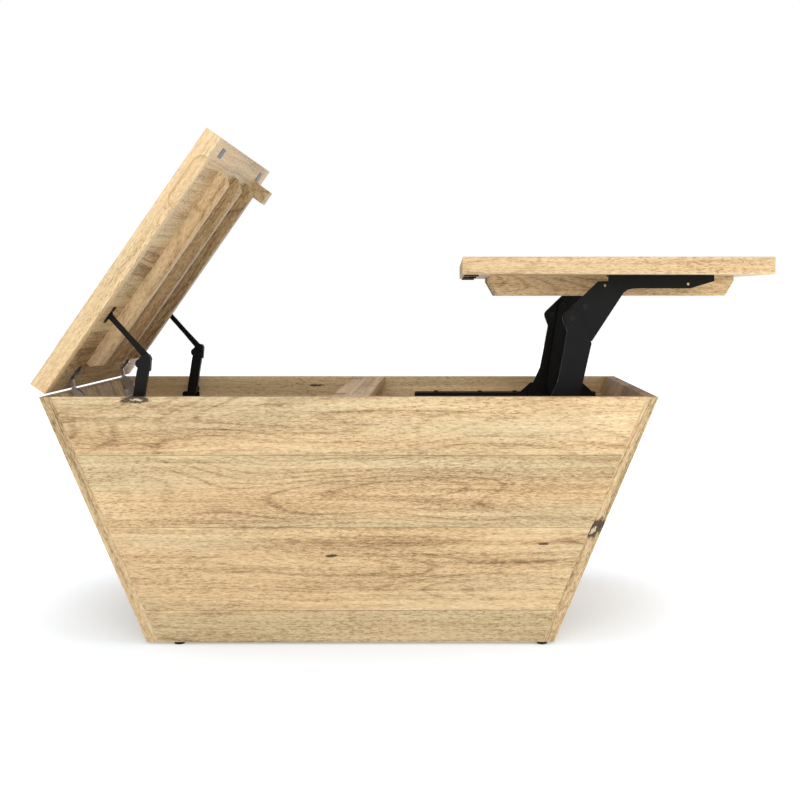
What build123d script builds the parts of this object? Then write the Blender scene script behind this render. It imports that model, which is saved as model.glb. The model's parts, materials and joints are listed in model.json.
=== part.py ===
from build123d import *
import os
from math import atan2, cos, degrees, hypot, radians, sin, tan

# Lift top coffee table: a wooden box with leaning ends, half lid on hinges, half lifting table.
#
# Millimetres, +Z up, +X to the right, +Y to the back. The origin is on the floor under the
# middle of the box. The table stands as it is shown in use: the left half of the top is open
# on its stays, and the right half is raised on its two arm sets.

# ---- Overall sizes
box_length = 1118.0        # outside length at the rim
box_depth = 610.0
box_height = 450.0         # wooden box, without its feet
end_lean = 22.5            # how far each end leans out from upright, degrees
board = 20.0               # thickness of the box's boards
top_thickness = 31.0
foot_height = 5.0

# ---- Clearances
rest_gap = 0.5             # under a closed top
top_gap = 2.0              # between the two closed tops
end_overhang = 2.0         # of the tops past the rim at each end
pivot_play = 0.06          # radial, pin in its eye
open_pivot_play = 0.35     # radial, where a closed loop of links is left open
layer_gap = 0.5            # between plates that pass each other
fit_play = 0.1             # round a fitting let into wood or a screw in its hole
arris = 1.2                # eased edges of the wood

# ---- Tops
edge_width = 28.0          # long strips along the front and back of each top
inner_round = 4.0          # upper corner of the raised top's inner end
batten_width = 20.0
batten_height = 38.0
lid_batten_height = 28.0
batten_square = 9.5        # upright part of a batten's end, before its slope
batten_slope = 16.5        # length of that slope along the batten
batten_side = 150.0        # outer battens, from the front and back faces
lid_batten_hinge_inset = 58.0
lid_batten_free_inset = 49.0
lift_batten_inner_inset = 53.5
lift_batten_outer_inset = 41.0
pull_length = 110.0        # finger pull in the lid's front edge
pull_inset = 42.0          # from the free end
pull_height = 19.0
pull_depth = 14.0
pull_round = 6.0
stop_block_length = 31.0
stop_block_depth = 43.0
stop_block_inset = 36.0    # from the free end
stop_block_side = 36.0     # from the back face

# ---- Inside the box
bottom_thickness = 15.0
divider_thickness = 18.0
centre_rail_width = 69.0
centre_rail_thickness = 17.0
cleat_height = 30.0
cleat_drop = 35.0          # top of the cleats below the rim
foot_radius = 9.5
foot_inset_left = 58.0     # from the lower left corner
foot_inset_right = 21.0
foot_inset_side = 10.2

# ---- Lid catch and rest pads
catch_length = 20.0
catch_width = 30.0
catch_thickness = 3.0
catch_sink = 1.1           # magnet below the rail's face
catch_room = 1.5           # pocket round the magnet
strike_thickness = 1.0
catch_inset = 24.0         # middle of the catch from the middle of the table
catch_side = 80.0          # from the front and back faces
pad_length = 27.0
pad_width = 12.0
pad_thickness = 3.0
pad_room = 1.5             # pocket in the rail round each pad
pad_inset = 18.5           # middle of a pad from the middle of the table
pad_side = 80.0            # outer pads, from the front and back faces

# ---- Brackets under the raised top
bracket_reach = 262.0      # from the arm's upper pivot to the far end of the long limb

# ---- Lid hinges
lid_open = 54.5            # degrees, held by the stays
hinge_axis_in = 1.5        # from the lid's end face
hinge_axis_up = 14.0       # above the lid's underside
hinge_side = 122.0         # each hinge from the front and back faces
cup_radius = 17.5
cup_depth = 11.5
cup_wall = 1.0
cup_inset = 37.0           # middle of the cup from the lid's end
cup_ear_length = 56.0
cup_ear_width = 12.0
hinge_plate_top = 22.0     # below the rim, measured upright
hinge_plate_height = 50.0
hinge_plate_thickness = 3.0
hinge_plate_width = 40.0
hinge_arm_width = 12.0
hinge_slot = 9.0           # between the two cheeks of a hinge arm
hinge_pin_radius = 1.5
hinge_pin_x = 28.0         # pin from the rim's left end
hinge_pin_up = 5.0         # pin above the rim
hinge_link_length = 18.0
hinge_link_half = 2.5
hinge_link_width = 8.0
hinge_link_open = 100.0    # angle of the link with the lid open, from level

# ---- Lid stays
stay_drawn_length = 94.75  # pivot distance that the lower arm's outline is drawn for
stay_foot_x = 164.0        # foot pivot from the rim's left end
stay_foot_drop = 27.0      # below the rim
stay_knee_x = 184.5
stay_knee_rise = 65.5
stay_lid_along = 172.8     # lid pivot from the hinge axis, along the lid
stay_lid_drop = 6.0        # lid pivot below the lid's underside
stay_plate_thickness = 4.0
stay_plate_length = 38.0
stay_plate_height = 34.0
stay_plate_shift = 10.0    # plate's middle, to the left of the foot pivot
stay_plate_top = 33.0      # below the rim
stay_plate_round = 5.0
stay_boss_radius = 9.0
stay_outer = 48.5          # lower arm's outer face, from the front or back face
stay_body_thickness = 13.0
stay_bar_thickness = 4.0
stay_bar_half = 5.0
stay_pin_radius = 3.5
stay_bracket_length = 36.0
stay_bracket_width = 16.0
stay_ear_thickness = 2.5

# ---- Lift mechanism
lift_rise = 220.0
lift_reach = 203.5         # how far the top moves out while it rises
arm_closed_angle = 193.2   # main arm from level when the top is down
arm_base_x = 177.0         # main arm's lower pivot from the rim's right end
arm_base_drop = 38.0
pair_spacing = 32.0        # between the two lower pivots, and the two upper ones
pair_angle = 42.0
arm_outer = 71.0           # main arm's outer face, from the front or back face
arm_thickness = 4.5
bracket_thickness = 4.5
bracket_flange = 26.0
bracket_flange_thickness = 3.0
control_half = 9.0
control_mid_half = 10.0
pivot_radius = 5.0
rivet_radius = 8.0
rivet_thickness = 1.6
rivet_mark_radius = 5.0
rivet_mark_height = 0.4
rail_length = 404.0
rail_end = 51.0            # right end of the rail from the rim's right end
rail_thickness = 3.0
rail_flange = 38.0
rail_leg = 30.0
cheek_thickness = 4.0
channel_drop = 88.0        # underside of the channel below the rim
screw_radius = 2.0
screw_head_radius = 4.8
screw_head_height = 2.8
screw_length = 18.0
lug_radius = 24.0          # spring's pin on the main arm, from its lower pivot
lug_angle = 133.0          # from the arm's own line
lug_pin_radius = 3.4
spring_radius = 5.5
spring_wall = 1.6
spring_wire = 1.3
spring_side = 98.0         # spring's middle from the front or back face
spring_anchor_in = 11.0    # spring's fixed end from the rail's right end
spring_anchor_drop = 52.0
spring_hook_length = 22.0
spring_eye_radius = 5.6

# ---- Sizes that follow
half_length = box_length / 2
half_depth = box_depth / 2
rim_z = foot_height + box_height
lean = tan(radians(end_lean))
board_level = board / cos(radians(end_lean))
half_bottom = half_length - box_height * lean
inside_half_depth = half_depth - board
top_length = half_length + end_overhang - top_gap / 2
bottom_top_z = foot_height + bottom_thickness
rail_under_z = rim_z - centre_rail_thickness
cleat_top_z = rim_z - cleat_drop
cleat_low_z = cleat_top_z - cleat_height
rail_top_z = cleat_top_z + rail_thickness

# The lid is drawn from its hinge axis, x along the lid and y square to it.
lid = (-(half_length + end_overhang) + hinge_axis_in, rim_z + rest_gap + hinge_axis_up, lid_open)
lid_start = -hinge_axis_in
lid_end = lid_start + top_length
lid_under = -hinge_axis_up
lid_over = lid_under + top_thickness

# The raised top is drawn from the lower corner of its inner end.
lift = (top_gap / 2 + lift_reach, rim_z + rest_gap + lift_rise, 0.0)
table = (0.0, 0.0, 0.0)

sides = {"front": -1, "rear": 1}


def inside_x(z):
    """Distance of an end panel's inner face from the middle, at height z."""
    return half_length - (rim_z - z) * lean - board_level


def turned(x, y, angle):
    """Point (x, y) turned about the origin by angle."""
    a = radians(angle)
    return (x * cos(a) - y * sin(a), x * sin(a) + y * cos(a))


def from_frame(frame, x, y):
    """Where a point drawn in a frame (x, z, angle) lies in the table's own X and Z."""
    dx, dz = turned(x, y, frame[2])
    return (frame[0] + dx, frame[1] + dz)


def upright(frame, y):
    """Drawing plane of a frame at depth y, facing the front."""
    x, z, angle = frame
    return Plane(origin=(x, y, z), x_dir=(cos(radians(angle)), 0, sin(radians(angle))), z_dir=(0, -1, 0))


def flat_on(frame, offset):
    """Plane of a top's underside, raised by offset, with its own Y to the back."""
    x, z = from_frame(frame, 0, offset)
    a = radians(frame[2])
    return Plane(origin=(x, 0, z), x_dir=(cos(a), 0, sin(a)), z_dir=(-sin(a), 0, cos(a)))


def layer(side, outer, thickness):
    """Front and back limits of a layer, its outer face measured in from the table's face."""
    a = side * (half_depth - outer)
    b = side * (half_depth - outer - thickness)
    return min(a, b), max(a, b)


def arc_points(cx, cy, radius, start, end, steps=8):
    """Points along an arc, for the round end of a flat piece."""
    angles = [radians(start + (end - start) * i / steps) for i in range(steps + 1)]
    return [(cx + radius * cos(a), cy + radius * sin(a)) for a in angles]


def bar_outline(length, start_half, mid_half, end_half):
    """Flat link with round ends, from its first pivot at the origin to the second on +X."""
    first = arc_points(0, 0, start_half, 90, 270)
    last = arc_points(length, 0, end_half, -90, 90)
    return first + [(length / 2, -mid_half)] + last + [(length / 2, mid_half)]


def plate(frame, span, outline, holes=()):
    """Flat piece drawn in a frame, filling span in depth, with round holes (x, y, radius)."""
    front, back = span
    with BuildPart() as made:
        with BuildSketch(upright(frame, back)):
            with BuildLine():
                Polyline(*outline, close=True)
            make_face()
            for x, y, radius in holes:
                with Locations((x, y)):
                    Circle(radius, mode=Mode.SUBTRACT)
        extrude(amount=back - front)
    return made


def save(made, name):
    made.part.label = name
    export_step(made.part, "parts/" + name + ".step")


os.makedirs("parts", exist_ok=True)

# ---------------------------------------------------------------- Wooden box
for name, side in sides.items():
    outline = [
        (-inside_x(rim_z), rim_z),
        (inside_x(rim_z), rim_z),
        (inside_x(foot_height), foot_height),
        (-inside_x(foot_height), foot_height),
    ]
    save(plate(table, layer(side, 0, board), outline), name + "_panel")

for name, hand in {"left": -1, "right": 1}.items():
    outline = [
        (hand * half_length, rim_z),
        (hand * (half_length - board_level), rim_z),
        (hand * (half_bottom - board_level), foot_height),
        (hand * half_bottom, foot_height),
    ]
    with BuildPart() as end_panel:
        with BuildSketch(upright(table, half_depth)):
            with BuildLine():
                Polyline(*outline, close=True)
            make_face()
        extrude(amount=box_depth)
        outer_face = end_panel.faces().sort_by(Axis.X)[0 if hand < 0 else -1]
        fillet(outer_face.edges(), radius=arris)
    save(end_panel, name + "_end_panel")

inside_span = (-inside_half_depth, inside_half_depth)
bottom_outline = [
    (-inside_x(foot_height), foot_height),
    (inside_x(foot_height), foot_height),
    (inside_x(bottom_top_z), bottom_top_z),
    (-inside_x(bottom_top_z), bottom_top_z),
]
save(plate(table, inside_span, bottom_outline), "bottom_panel")

with BuildPart() as divider_panel:
    with BuildSketch(Plane.XY.offset(bottom_top_z)):
        Rectangle(divider_thickness, 2 * inside_half_depth)
    extrude(amount=rail_under_z - bottom_top_z)
save(divider_panel, "divider_panel")

catch_y = half_depth - catch_side
pad_y = half_depth - pad_side
catch_spots = [(-catch_inset, -catch_y), (-catch_inset, catch_y)]
pad_spots = [(pad_inset, -pad_y), (pad_inset, 0), (pad_inset, pad_y)]
pockets = {
    "left": (catch_spots, catch_length, catch_width, catch_room, catch_thickness + catch_sink),
    "right": (pad_spots, pad_length, pad_width, pad_room, pad_thickness + rest_gap),
}
for name, hand in {"left": -1, "right": 1}.items():
    spots, length, width, room, deep = pockets[name]
    with BuildPart() as centre_rail:
        with BuildSketch(Plane.XY.offset(rail_under_z)):
            with Locations((hand * centre_rail_width / 4, 0)):
                Rectangle(centre_rail_width / 2, 2 * inside_half_depth)
        extrude(amount=centre_rail_thickness)
        with BuildSketch(Plane.XY.offset(rim_z)):
            with Locations(*spots):
                Rectangle(length + 2 * room, width + 2 * room)
        extrude(amount=-deep, mode=Mode.SUBTRACT)
    save(centre_rail, "centre_rail_" + name)

with BuildPart() as catch_magnets:
    with BuildSketch(Plane.XY.offset(rim_z - catch_sink)):
        with Locations(*catch_spots):
            Rectangle(catch_length, catch_width)
    extrude(amount=-catch_thickness)
save(catch_magnets, "catch_magnets")

foot_y = half_depth - foot_inset_side
foot_spots = []
for foot_x in (-half_bottom + foot_inset_left, half_bottom - foot_inset_right):
    foot_spots += [(foot_x, -foot_y), (foot_x, foot_y)]
with BuildPart() as feet:
    with BuildSketch(Plane.XY):
        with Locations(*foot_spots):
            Circle(foot_radius)
    extrude(amount=foot_height)
    fillet(feet.faces().filter_by(Axis.Z).group_by(Axis.Z)[0].edges(), radius=arris)
save(feet, "feet")

# ---------------------------------------------------------------- Lift mechanism, geometry
swing_chord = hypot(lift_reach, lift_rise)
chord_angle = degrees(atan2(lift_rise, lift_reach))
arm_swing = 2 * (arm_closed_angle - chord_angle - 90.0)
arm_raised_angle = arm_closed_angle - arm_swing
arm_length = swing_chord / (2 * sin(radians(arm_swing / 2)))

arm_base = (half_length - arm_base_x, rim_z - arm_base_drop)
pair_step = turned(pair_spacing, 0, pair_angle)
control_base = (arm_base[0] + pair_step[0], arm_base[1] + pair_step[1])
main_frame = (*arm_base, arm_raised_angle)
control_frame = (*control_base, arm_raised_angle)
arm_tip = from_frame(main_frame, arm_length, 0)
control_tip = from_frame(control_frame, arm_length, 0)
lug_local = turned(lug_radius, 0, lug_angle)
lug_at = from_frame(main_frame, *lug_local)

# Layers from the outside in: rail, main arm, bracket, control arm, cheek.
rail_outer = arm_outer - layer_gap - rail_thickness
bracket_outer = arm_outer + arm_thickness + 2 * layer_gap
control_outer = bracket_outer + bracket_thickness + 2 * layer_gap
cheek_outer = control_outer + arm_thickness + 2 * layer_gap
cheek_inner = cheek_outer + cheek_thickness

rail_right = half_length - rail_end
rail_left = rail_right - rail_length
screw_x = [rail_left + rail_length * share for share in (0.116, 0.36, 0.554)]
anchor = (rail_right - spring_anchor_in, rim_z - spring_anchor_drop)
channel_z = rim_z - channel_drop
channel_half = 34.0        # half length of the channel below the lower pivots
channel_mid = (arm_base[0] + control_base[0]) / 2
leg_low_z = cleat_top_z - rail_leg
gusset_z = rim_z - 10.0    # upper edge of the leg round the lower pivots
gusset_slope = 30.0        # slope at the leg's right end

# ---------------------------------------------------------------- Lift mechanism, fixed parts
with BuildPart() as mechanism_cleats:
    for side in sides.values():
        cleat_span = layer(side, board, rail_outer - board)
        with BuildSketch(upright(table, cleat_span[1])):
            with BuildLine():
                Polyline(
                    (rail_left - layer_gap, cleat_top_z),
                    (inside_x(cleat_top_z), cleat_top_z),
                    (inside_x(cleat_low_z), cleat_low_z),
                    (rail_left - layer_gap, cleat_low_z),
                    close=True,
                )
            make_face()
        extrude(amount=cleat_span[1] - cleat_span[0])
        screw_y = side * (half_depth - rail_outer + rail_flange / 2)
        with BuildSketch(Plane.XY.offset(cleat_top_z)):
            with Locations(*[(x, screw_y) for x in screw_x]):
                Circle(screw_radius + fit_play)
        extrude(amount=-screw_length, mode=Mode.SUBTRACT)
save(mechanism_cleats, "mechanism_cleats")

leg_outline = [
    (rail_left, rail_top_z),
    (arm_base[0] - 44, rail_top_z),
    (arm_base[0] - 20, gusset_z),
    (rail_right - gusset_slope, gusset_z),
    (rail_right, cleat_top_z - rail_thickness),
    (rail_right, leg_low_z + rail_leg / 2),
    (rail_right - 8, leg_low_z),
    (channel_mid + channel_half, leg_low_z),
    (channel_mid + channel_half, channel_z),
    (channel_mid - channel_half, channel_z),
    (channel_mid - channel_half, leg_low_z),
    (rail_left, leg_low_z),
]
cheek_left = arm_base[0] + lug_radius
cheek_outline = [
    (channel_mid + channel_half, channel_z),
    (channel_mid + channel_half, channel_z + rail_leg),
    *arc_points(*control_base, control_half + 1, -10, 190),
    (cheek_left, arm_base[1]),
    (cheek_left, channel_z),
]
for name, side in sides.items():
    leg_span = layer(side, rail_outer, rail_thickness)
    flange_mid = side * (half_depth - rail_outer - rail_thickness + rail_flange / 2)
    cheek_span = layer(side, cheek_outer, cheek_thickness)
    across = layer(side, rail_outer, cheek_inner - rail_outer)
    post_span = layer(side, rail_outer, spring_side - rail_outer + spring_radius)
    with BuildPart() as base_rail:
        with BuildSketch(Plane.XY.offset(cleat_top_z)):
            with Locations(((rail_left + rail_right) / 2, flange_mid)):
                Rectangle(rail_length, rail_flange)
        extrude(amount=rail_thickness)
        screw_y = side * (half_depth - rail_outer + rail_flange / 2)
        with BuildSketch(Plane.XY.offset(rail_top_z)):
            with Locations(*[(x, screw_y) for x in screw_x]):
                Circle(screw_radius + fit_play)
        extrude(amount=-rail_thickness, mode=Mode.SUBTRACT)
        with BuildSketch(upright(table, leg_span[1])):
            with BuildLine():
                Polyline(*leg_outline, close=True)
            make_face()
        extrude(amount=rail_thickness)
        with BuildSketch(upright(table, leg_span[1])):
            with Locations(arm_base):
                Circle(pivot_radius + fit_play)
        extrude(amount=rail_thickness, mode=Mode.SUBTRACT)
        with BuildSketch(upright(table, cheek_span[1])):
            with BuildLine():
                Polyline(*cheek_outline, close=True)
            make_face()
            with Locations(control_base):
                Circle(pivot_radius + fit_play, mode=Mode.SUBTRACT)
        extrude(amount=cheek_thickness)
        with BuildSketch(Plane.XY.offset(channel_z)):
            with Locations((channel_mid, (across[0] + across[1]) / 2)):
                Rectangle(2 * channel_half, across[1] - across[0])
        extrude(amount=rail_thickness)
        with BuildSketch(upright(table, post_span[1])):
            with Locations(anchor):
                Circle(lug_pin_radius)
        extrude(amount=post_span[1] - post_span[0])
    save(base_rail, "base_rail_" + name)

with BuildPart() as rail_screws:
    for side in sides.values():
        screw_y = side * (half_depth - rail_outer + rail_flange / 2)
        for radius, height in ((screw_head_radius, screw_head_height), (screw_radius, 1 - screw_length)):
            with BuildSketch(Plane.XY.offset(rail_top_z)):
                with Locations(*[(x, screw_y) for x in screw_x]):
                    Circle(radius)
            extrude(amount=height)
    fillet(rail_screws.faces().filter_by(Axis.Z).group_by(Axis.Z)[-1].edges(), radius=arris)
save(rail_screws, "rail_screws")

arm_inner = arm_outer + arm_thickness
with BuildPart() as base_pivot_pins:
    for side in sides.values():
        runs = [
            (arm_base, layer(side, rail_outer, arm_inner + layer_gap - rail_outer), pivot_radius),
            (arm_base, layer(side, arm_inner + layer_gap, rivet_thickness), rivet_radius),
            (control_base, layer(side, control_outer - layer_gap, cheek_inner - control_outer + layer_gap),
             pivot_radius),
        ]
        for spot, (front, back), radius in runs:
            with BuildSketch(upright(table, back)):
                with Locations(spot):
                    Circle(radius)
            extrude(amount=back - front)
save(base_pivot_pins, "base_pivot_pins")

# Springs that push the arms up, between the rail's post and the eye on the main arm's lug.
spring_run = hypot(lug_at[0] - anchor[0], lug_at[1] - anchor[1])
spring_angle = degrees(atan2(lug_at[1] - anchor[1], lug_at[0] - anchor[0]))
spring_end = spring_run - spring_hook_length
spring_start = 12.0
for name, side in sides.items():
    spring_y = side * (half_depth - spring_side)
    run_dir = (cos(radians(spring_angle)), 0, sin(radians(spring_angle)))
    line = Plane(origin=(anchor[0], spring_y, anchor[1]), z_dir=run_dir)
    with BuildPart() as lift_spring:
        with BuildSketch(line.offset(spring_start)):
            Circle(spring_radius)
            Circle(spring_radius - spring_wall, mode=Mode.SUBTRACT)
        extrude(amount=spring_end - spring_start)
        with BuildSketch(line.offset(spring_start)):
            Circle(spring_radius)
        extrude(amount=spring_wall)
        with BuildSketch(line.offset(lug_pin_radius + fit_play)):
            Circle(spring_wire)
        extrude(amount=spring_start - lug_pin_radius - fit_play)
    save(lift_spring, "lift_spring_" + name)

    hook_frame = (*lug_at, spring_angle + 180)
    hook_span = (spring_y - spring_wire, spring_y + spring_wire)
    hook_neck = spring_eye_radius - spring_wire
    with BuildPart() as spring_hook:
        with BuildSketch(upright(hook_frame, hook_span[1])):
            Circle(spring_eye_radius)
            with Locations(((spring_hook_length + spring_wall + hook_neck) / 2, 0)):
                Rectangle(spring_hook_length + spring_wall - hook_neck, 2 * spring_wire)
            Circle(lug_pin_radius + pivot_play, mode=Mode.SUBTRACT)
        extrude(amount=2 * spring_wire)
    save(spring_hook, "spring_hook_" + name)

# ---------------------------------------------------------------- Lift mechanism, moving arms
tip_round = 16.0
arm_outline = [
    *arc_points(arm_length, 0, tip_round, -60, 90),
    (0.86 * arm_length, 6.0),
    (0.57 * arm_length, 7.0),
    (0.34 * arm_length, 8.5),
    (0.17 * arm_length, 17.0),
    (0.03 * arm_length, 25.0),
    *arc_points(*lug_local, 8.0, 60, 225),
    *arc_points(0, 0, tip_round, 190, 250),
    (0.06 * arm_length, -26.0),
    (0.17 * arm_length, -34.0),
    (0.36 * arm_length, -37.7),
    (0.56 * arm_length, -39.9),
    (0.77 * arm_length, -42.2),
    (0.86 * arm_length, -36.0),
]
mark_spots = [
    (arm_length * 0.45, -14.0),
    (arm_length * 0.69, -14.0),
]
for name, side in sides.items():
    arm_span = layer(side, arm_outer, arm_thickness)
    tip_play = pivot_play if name == "front" else open_pivot_play
    holes = [(0, 0, pivot_radius + pivot_play), (arm_length, 0, pivot_radius + tip_play)]
    lug_span = layer(side, arm_outer, spring_side + spring_radius - arm_outer)
    mark_span = layer(side, arm_inner, rivet_mark_height)
    with BuildPart() as lift_arm:
        with BuildSketch(upright(main_frame, arm_span[1])):
            with BuildLine():
                Polyline(*arm_outline, close=True)
            make_face()
            for x, y, radius in holes:
                with Locations((x, y)):
                    Circle(radius, mode=Mode.SUBTRACT)
        extrude(amount=arm_thickness)
        with BuildSketch(upright(main_frame, lug_span[1])):
            with Locations(lug_local):
                Circle(lug_pin_radius)
        extrude(amount=lug_span[1] - lug_span[0])
        with BuildSketch(upright(main_frame, mark_span[1])):
            with Locations(*mark_spots):
                Circle(rivet_mark_radius)
        extrude(amount=rivet_mark_height)
    save(lift_arm, "lift_arm_" + name)

    control_span = layer(side, control_outer, arm_thickness)
    control_holes = [(0, 0, pivot_radius + pivot_play), (arm_length, 0, pivot_radius + open_pivot_play)]
    outline = bar_outline(arm_length, control_half, control_mid_half, control_half + 1)
    save(plate(control_frame, control_span, outline, control_holes), "control_arm_" + name)

# ---------------------------------------------------------------- Brackets under the raised top
limb_drop = 25.0
ear = (arm_tip[0] - lift[0], arm_tip[1] - lift[1])
bracket_right = ear[0] + bracket_reach
bracket_outline = [
    (ear[0] + 66.0, 0.0),
    (bracket_right, 0.0),
    (bracket_right, -11.5),
    (bracket_right - 44.0, -limb_drop),
    (ear[0] + 113.0, -limb_drop),
    (ear[0] + 101.0, -limb_drop - 3.0),
    (ear[0] + 94.5, -limb_drop - 8.0),
    (ear[0] + 36.5, ear[1] - 43.0),
    (ear[0] - 10.0, ear[1] - 24.0),
    (ear[0] - 17.0, ear[1] - 6.0),
    (ear[0] - 18.5, ear[1] + 1.5),
    (ear[0] - 16.0, ear[1] + 7.0),
    (ear[0] + 47.5, -11.6),
    (ear[0] + 66.0, -11.6),
]
bracket_holes = [
    (ear[0], ear[1], pivot_radius + fit_play),
    (ear[0] + pair_step[0], ear[1] + pair_step[1], pivot_radius + fit_play),
    (ear[0] + 60.0, -20.0, 2.6),
    (bracket_right - 48.0, -17.0, 2.6),
]
flange_from = ear[0] + 66.0
flange_mid_x = (flange_from + bracket_right) / 2
top_screw_x = [flange_from + 22.0, flange_from + 103.0, bracket_right - 26.0]
top_screw_side = bracket_outer + bracket_thickness + bracket_flange - 12.0
for name, side in sides.items():
    span = layer(side, bracket_outer, bracket_thickness)
    flange_span = layer(side, bracket_outer, bracket_flange)
    screw_y = side * (half_depth - top_screw_side + bracket_thickness)
    with BuildPart() as lift_bracket:
        with BuildSketch(upright(lift, span[1])):
            with BuildLine():
                Polyline(*bracket_outline, close=True)
            make_face()
            for x, y, radius in bracket_holes:
                with Locations((x, y)):
                    Circle(radius, mode=Mode.SUBTRACT)
        extrude(amount=bracket_thickness)
        with BuildSketch(flat_on(lift, -bracket_flange_thickness)):
            with Locations((flange_mid_x, (flange_span[0] + flange_span[1]) / 2)):
                Rectangle(bracket_right - flange_from, bracket_flange)
        extrude(amount=bracket_flange_thickness)
        with BuildSketch(flat_on(lift, -bracket_flange_thickness)):
            with Locations(*[(x, screw_y) for x in top_screw_x]):
                Circle(screw_radius + fit_play)
        extrude(amount=bracket_flange_thickness, mode=Mode.SUBTRACT)
    save(lift_bracket, "lift_bracket_" + name)

with BuildPart() as lift_bracket_screws:
    for side in sides.values():
        screw_y = side * (half_depth - top_screw_side + bracket_thickness)
        head = (screw_head_radius, -screw_head_height)
        shank = (screw_radius, screw_length)
        for radius, height in (head, shank):
            with BuildSketch(flat_on(lift, -bracket_flange_thickness)):
                with Locations(*[(x, screw_y) for x in top_screw_x]):
                    Circle(radius)
            extrude(amount=height)
    fillet(lift_bracket_screws.faces().filter_by(Axis.Z).group_by(Axis.Z)[0].edges(), radius=arris)
save(lift_bracket_screws, "lift_bracket_screws")

with BuildPart() as lift_pivot_pins:
    for side in sides.values():
        runs = [
            (arm_tip, layer(side, arm_outer - layer_gap / 2, arm_inner - arm_outer + 3 * layer_gap
                            + bracket_thickness)),
            (control_tip, layer(side, bracket_outer, control_outer + arm_thickness - bracket_outer
                                + layer_gap / 2)),
        ]
        for spot, (front, back) in runs:
            with BuildSketch(upright(table, back)):
                with Locations(spot):
                    Circle(pivot_radius)
            extrude(amount=back - front)
save(lift_pivot_pins, "lift_pivot_pins")

# ---------------------------------------------------------------- Raised top
field_half = half_depth - edge_width
lift_outline = [
    (0, 0),
    (top_length, 0),
    (top_length, top_thickness),
    *arc_points(inner_round, top_thickness - inner_round, inner_round, 90, 180, 6),
]
with BuildPart() as lift_boards:
    with BuildSketch(upright(lift, field_half)):
        with BuildLine():
            Polyline(*lift_outline, close=True)
        make_face()
    extrude(amount=2 * field_half)
    for side in sides.values():
        screw_y = side * (half_depth - top_screw_side + bracket_thickness)
        with BuildSketch(flat_on(lift, 0)):
            with Locations(*[(x, screw_y) for x in top_screw_x]):
                Circle(screw_radius + fit_play)
        extrude(amount=screw_length, mode=Mode.SUBTRACT)
save(lift_boards, "lift_boards")
for name, side in sides.items():
    with BuildPart() as lift_edge:
        span = layer(side, 0, edge_width)
        with BuildSketch(upright(lift, span[1])):
            with BuildLine():
                Polyline(*lift_outline, close=True)
            make_face()
        extrude(amount=edge_width)
        outer = lift_edge.faces().sort_by(Axis.Y)[0 if side < 0 else -1]
        fillet(outer.edges(), radius=arris)
    save(lift_edge, "lift_" + name + "_edge")


def batten_outline(start, end, under, height):
    """Side view of a batten whose ends slope up to a short upright part."""
    low = under - height
    return [
        (start, under),
        (start, under - batten_square),
        (start + batten_slope, low),
        (end - batten_slope, low),
        (end, under - batten_square),
        (end, under),
    ]


outer_batten_y = half_depth - batten_side - batten_width / 2
batten_y = {
    "front": -outer_batten_y,
    "middle": 0.0,
    "rear": outer_batten_y,
}
lift_batten = batten_outline(lift_batten_inner_inset, top_length - lift_batten_outer_inset, 0, batten_height)
lid_batten = batten_outline(
    lid_start + lid_batten_hinge_inset, lid_end - lid_batten_free_inset, lid_under, lid_batten_height
)
for name, y in batten_y.items():
    span = (y - batten_width / 2, y + batten_width / 2)
    save(plate(lift, span, lift_batten), "lift_batten_" + name)
    save(plate(lid, span, lid_batten), "lid_batten_" + name)

pad_x = pad_inset - top_gap / 2
with BuildPart() as lift_pads:
    with BuildSketch(flat_on(lift, 0)):
        with Locations(*[(pad_x, y) for x, y in pad_spots]):
            Rectangle(pad_length, pad_width)
    extrude(amount=-pad_thickness)
    fillet(lift_pads.edges().filter_by(Axis.Z), radius=arris)
save(lift_pads, "lift_pads")

# ---------------------------------------------------------------- Lid
cup_x = lid_start + cup_inset
cup_y = half_depth - hinge_side
cup_spots = [(cup_x, -cup_y), (cup_x, cup_y)]
lid_outline = [(lid_start, lid_under), (lid_end, lid_under), (lid_end, lid_over), (lid_start, lid_over)]
with BuildPart() as lid_boards:
    with BuildSketch(upright(lid, field_half)):
        with BuildLine():
            Polyline(*lid_outline, close=True)
        make_face()
    extrude(amount=2 * field_half)
    with BuildSketch(flat_on(lid, lid_under)):
        with Locations(*cup_spots):
            Circle(cup_radius + fit_play)
    extrude(amount=cup_depth + fit_play, mode=Mode.SUBTRACT)
save(lid_boards, "lid_boards")

for name, side in sides.items():
    span = layer(side, 0, edge_width)
    with BuildPart() as lid_edge:
        with BuildSketch(upright(lid, span[1])):
            with BuildLine():
                Polyline(*lid_outline, close=True)
            make_face()
        extrude(amount=edge_width)
        outer = lid_edge.faces().sort_by(Axis.Y)[0 if side < 0 else -1]
        fillet(outer.edges(), radius=arris)
        if name == "front":
            pull_mid = lid_end - pull_inset - pull_length / 2
            edge_low_z = from_frame(lid, pull_mid, lid_under)[1]
            with BuildSketch(upright(lid, span[0])):
                with Locations((pull_mid, lid_under)):
                    RectangleRounded(pull_length, 2 * pull_height, pull_height - 1)
            extrude(amount=-pull_depth, mode=Mode.SUBTRACT)
            recess_back = lid_edge.faces().filter_by(Axis.Y).sort_by(Axis.Y)[-2]
            roof = [edge for edge in recess_back.edges() if edge.center().Z > edge_low_z]
            fillet(roof, radius=pull_round)
    save(lid_edge, "lid_" + name + "_edge")

block_mid = lid_end - stop_block_inset - stop_block_length / 2
with BuildPart() as lid_stop_block:
    with BuildSketch(flat_on(lid, lid_under)):
        with Locations((block_mid, half_depth - stop_block_side - stop_block_depth / 2)):
            Rectangle(stop_block_length, stop_block_depth)
    extrude(amount=-batten_height)
save(lid_stop_block, "lid_stop_block")

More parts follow.
